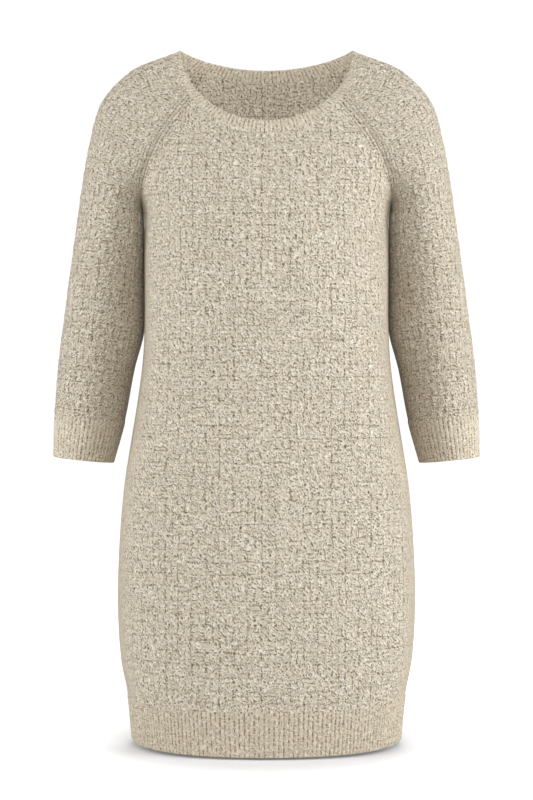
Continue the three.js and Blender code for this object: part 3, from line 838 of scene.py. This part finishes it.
def block_gaps(start, across, up, ragged, texture):
    """The gaps between strands and blocks, or between plain wales, and how far level strands rise."""
    column, row = across * (1 / BLOCK_WIDTH), up * (1 / BLOCK_HEIGHT)
    block = start.math("FLOOR", column) + start.math("FLOOR", row)
    upright = start.math("PINGPONG", block, 1.0)
    across_strand = (column * UPRIGHT_STRANDS).off_middle()
    up_strand = (row * LEVEL_STRANDS).off_middle()
    across_block, up_block = column.off_middle(), row.off_middle()
    level_dome = (1.0 - up_strand**2) * (1.0 - across_block**6) * (1.0 - upright)
    between_uprights = upright * across_strand.step(*GAP["upright"]) * GAP_DEPTH["upright"]
    between_levels = (1.0 - upright) * up_strand.step(*GAP["level"]) * GAP_DEPTH["level"]
    beside_block = across_block.step(*GAP["side"])
    end_depth = GAP_DEPTH["end"] + upright * GAP_DEPTH["upright_end"]
    above_block = up_block.step(*GAP["end"]) * end_depth
    gap = start.math("MAXIMUM", between_uprights + between_levels, beside_block)
    gap = start.math("MAXIMUM", gap, above_block) * ragged.step(*RAGGED["block"])
    between_wales = (across * (1 / WALE)).off_middle().step(*GAP["wale"])
    wale_gap = between_wales * ragged.step(*RAGGED["wale"]) * GAP_DEPTH["wale"]
    return gap * texture + wale_gap * (1.0 - texture), level_dome


def raglan_grooves(start, up, ragged, from_raglan):
    """The grooves along a raglan: one in its seam and two on each side, partly in dashes."""
    dashes = (up * (1 / WALE) + ragged * DASH["wobble"]).off_middle().step(*DASH["sides"])
    lines = {}
    for name, (distance, steep, end) in GROOVES.items():
        lines[name] = 1.0 - abs(from_raglan - distance).step(steep, end)
    in_seam = 1.0 - from_raglan.step(*SEAM_GROOVE)
    deep = lines["deep"] * (GROOVE_DEPTH["deep"] + dashes * GROOVE_DEPTH["dashes"])
    far = lines["far"] * dashes * GROOVE_DEPTH["far"]
    return deep + in_seam * GROOVE_DEPTH["seam"] + far


def block_knit():
    """The blocks of upright and level strands, plain wales beside them, and the grooved raglans."""
    material, start = new_material("textured_knit")
    place = start.node("UVMap", {"uv_map": "knit"})
    wobbling = swirled(start, place, SWIRL["blocks"])
    across = start.node("SeparateXYZ", None, {"Vector": wobbling})
    up = start.node("SeparateXYZ", None, {"Vector": wobbling}, output=1)
    texture, raglan = attribute(start, "texture"), attribute(start, "raglan")
    from_raglan = attribute(start, "from_raglan")
    ragged = noise(start, place, *RAGGED_BLOCKS)

    gap, level_dome = block_gaps(start, across, up, ragged, texture)
    groove = raglan_grooves(start, up, ragged, from_raglan) * raglan
    body, curls, shadows = stitches(start, place)
    beside_raglan = raglan * (1.0 - from_raglan.step(*BESIDE_RAGLAN))
    rough = SMOOTHER + start.math("MAXIMUM", texture, beside_raglan) * (1 - SMOOTHER)
    tone, lift = BLOCK_PAINTED_SHADING, BLOCK_LIFT
    # Painted light and shade: stitch bodies and curls are painted lighter; shadows, gaps and grooves darker
    detail = body * tone["body"] + curls * tone["curls"] - shadows * tone["shadows"] - gap * tone["gap"]
    painted_shading = tone["ground"] + detail * rough - groove * tone["groove"]
    fibres = noise(start, place, *FIBRES)
    height = (
        body * lift["body"] + curls * lift["curls"] - shadows * lift["shadows"]
        + level_dome * texture * lift["level_dome"] - gap * lift["gap"] - groove * lift["groove"]
        + fibres * lift["fibres"]
    )
    yarn = marl_with_painted_light(start, place, painted_shading, curls * rough * tone["painted_highlight"])
    finish_knit(start, yarn, height, BUMP["block"])
    return material


def ribbing():
    """Ribs with broken lines of painted shade in their grooves."""
    material, start = new_material("rib_knit")
    place = start.node("UVMap", {"uv_map": "knit"})
    body, curls, shadows = stitches(start, place)
    ragged = noise(start, place, *RAGGED_RIBS)
    groove = (1.0 - attribute(start, "rib")) ** 2 * ragged.step(*RAGGED["rib"])
    tone, lift = RIB_PAINTED_SHADING, RIB_LIFT
    # Painted light and shade: stitch bodies and curls lighter; shadows and the rib grooves darker
    painted_shading = (
        tone["ground"] + body * tone["body"] + curls * tone["curls"] - shadows * tone["shadows"]
        - groove * tone["groove"]
    )
    fibres = noise(start, place, *FIBRES)
    height = (
        body * lift["body"] + curls * lift["curls"] - shadows * lift["shadows"]
        + fibres * lift["fibres"]
    )
    finish_knit(start, marl_with_painted_light(start, place, painted_shading, curls * tone["painted_highlight"]), height, BUMP["rib"])
    return material


# Pieces
KNIT = {"textured_knit": block_knit(), "rib_knit": ribbing()}


def dress(node, made, slot):
    """Give a piece its yarn and the root, hide the part it stands for, and print the size it was cut to."""
    piece, (width, length, area) = made
    piece.data.materials.append(KNIT[slot])
    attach(piece, "root")
    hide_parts(node)
    print(f"{piece.name}: {width:.3f} x {length:.3f} m, {area:.4f} m2, {len(piece.data.polygons)} faces")


dress("neckband", neckband("neck_rib"), "rib_knit")
for side in ("front", "back"):
    cloth = panel("knit_" + side, side, PANEL_CELL)
    dress(side + "_panel", cloth, "textured_knit")
    hem = band("hem_rib_" + side, side, HEM_SEAM_LEVEL, HEM_RIBS)
    dress("hem_band_" + side, hem, "rib_knit")
for side, flip in (("left", False), ("right", True)):
    sleeve = panel("knit_sleeve_" + side, "sleeve", SLEEVE_CELL, flip)
    dress("sleeve_" + side, sleeve, "textured_knit")
    cuff = band("cuff_rib_" + side, "sleeve", CUFF_SEAM_LEVEL, CUFF_RIBS, flip)
    dress("cuff_" + side, cuff, "rib_knit")

# Camera
CAMERA_DISTANCE = 2.0
CAMERA_HEIGHT = -0.419
PHOTO_HEIGHT = 1.016  # what the photograph's height takes in at the middle of the dress
SENSOR = 36.0
camera_data = bpy.data.cameras.new("camera")
camera_data.sensor_width = SENSOR
camera_data.lens = SENSOR * CAMERA_DISTANCE / PHOTO_HEIGHT
camera = bpy.data.objects.new("camera", camera_data)
camera.location = (0, -CAMERA_DISTANCE, CAMERA_HEIGHT)
camera.rotation_euler = (np.pi / 2, 0, 0)
bpy.context.scene.collection.objects.link(camera)
bpy.context.scene.camera = camera


# Studio
def softbox(name, place, power, size, target=(0, 0, CAMERA_HEIGHT)):
    light = bpy.data.lights.new(name, "AREA")
    light.shape = "RECTANGLE"
    light.size, light.size_y = size
    light.energy = power
    made = bpy.data.objects.new(name, light)
    made.location = place
    aim = Vector(target) - Vector(place)
    made.rotation_euler = aim.to_track_quat("-Z", "Y").to_euler()
    bpy.context.scene.collection.objects.link(made)


softbox("softbox_left", (-2.4, -0.75, 0.2), 35, (1.2, 2.0))
softbox("softbox_right", (2.4, -0.75, 0.2), 45, (1.2, 2.0))
softbox("softbox_front", (0.2, -2.6, 1.0), 32, (1.6, 1.0))
softbox("softbox_back", (0.4, 2.4, 1.7), 34, (1.6, 1.0))
softbox("softbox_inside", (0, -0.03, -0.24), 0.2, (0.14, 0.06), (0, 0.09, -0.03))

FLOOR_SIZE = 60
FLOOR_DROP = 0.003
FLOOR_Z = HEM_EDGE_Z - HEM_DIP["front"] - FLOOR_DROP
FLOOR_COLOUR = (0.83, 0.84, 0.86, 1)
FOOTPRINT = (0.165, 0.13)
# The floor glows so that it looks white away from the dress: everywhere, past the hem and far out. The
# camera sees less glow close round the hem, which paints a soft shadow of the dress on the floor there
GLOW = {"all": 0.1, "outside_painted_shadow": 0.42, "far": 0.5}
GLOW_RISE = {"outside_painted_shadow": (0.9, 1.6), "far": (0.5, 1.6)}  # in footprints, and in metres
SKY_LIGHT = 0.20
SKY_SEEN = 0.85  # how much brighter the sky is to the camera
floor_mesh = bpy.data.meshes.new("floor")
floor_bm = bmesh.new()
bmesh.ops.create_grid(floor_bm, x_segments=1, y_segments=1, size=FLOOR_SIZE)
bmesh.ops.translate(floor_bm, vec=(0, 0, FLOOR_Z), verts=floor_bm.verts)
floor_bm.to_mesh(floor_mesh)
floor_bm.free()
floor = bpy.data.objects.new("floor", floor_mesh)
bpy.context.scene.collection.objects.link(floor)
floor_material, floor_start = new_material("pale_floor")
seen = floor_start.node("LightPath")
on_floor = floor_start.node("TexCoord", None, None, output=3)
away = floor_start.node("VectorMath", {"operation": "LENGTH"}, {0: on_floor}, output=1)
in_footprints = {0: on_floor, 1: (1 / FOOTPRINT[0], 1 / FOOTPRINT[1], 0)}
footprint = floor_start.node("VectorMath", {"operation": "MULTIPLY"}, in_footprints)
beside_hem = floor_start.node("VectorMath", {"operation": "LENGTH"}, {0: footprint}, output=1)
# A painted shadow round the hem: the glow that the camera sees rises only past the footprint
outside_painted_shadow = beside_hem.step(*GLOW_RISE["outside_painted_shadow"]) * GLOW["outside_painted_shadow"]
far = away.step(*GLOW_RISE["far"]) * GLOW["far"]
glow = GLOW["all"] + seen * (outside_painted_shadow + far - GLOW["all"])
floor_surface = floor_start.node(
    "BsdfPrincipled", None,
    {
        "Base Color": FLOOR_COLOUR, "Roughness": 1.0, "Specular IOR Level": 0.0,
        "Emission Color": floor_start.node("CombineColor", None, {0: glow, 1: glow, 2: glow}),
        "Emission Strength": 1.0,
    },
)
floor_start.node("OutputMaterial", None, {"Surface": floor_surface})
floor_mesh.materials.append(floor_material)

world = bpy.data.worlds.new("studio")
bpy.context.scene.world = world
world.use_nodes = True
sky = Value(world.node_tree)
backdrop = world.node_tree.nodes["Background"]
backdrop.inputs["Color"].default_value = (1, 1, 1, 1)
brightness = SKY_LIGHT + sky.node("LightPath") * SKY_SEEN
world.node_tree.links.new(brightness.socket, backdrop.inputs["Strength"])
bpy.context.scene.view_settings.view_transform = "Standard"
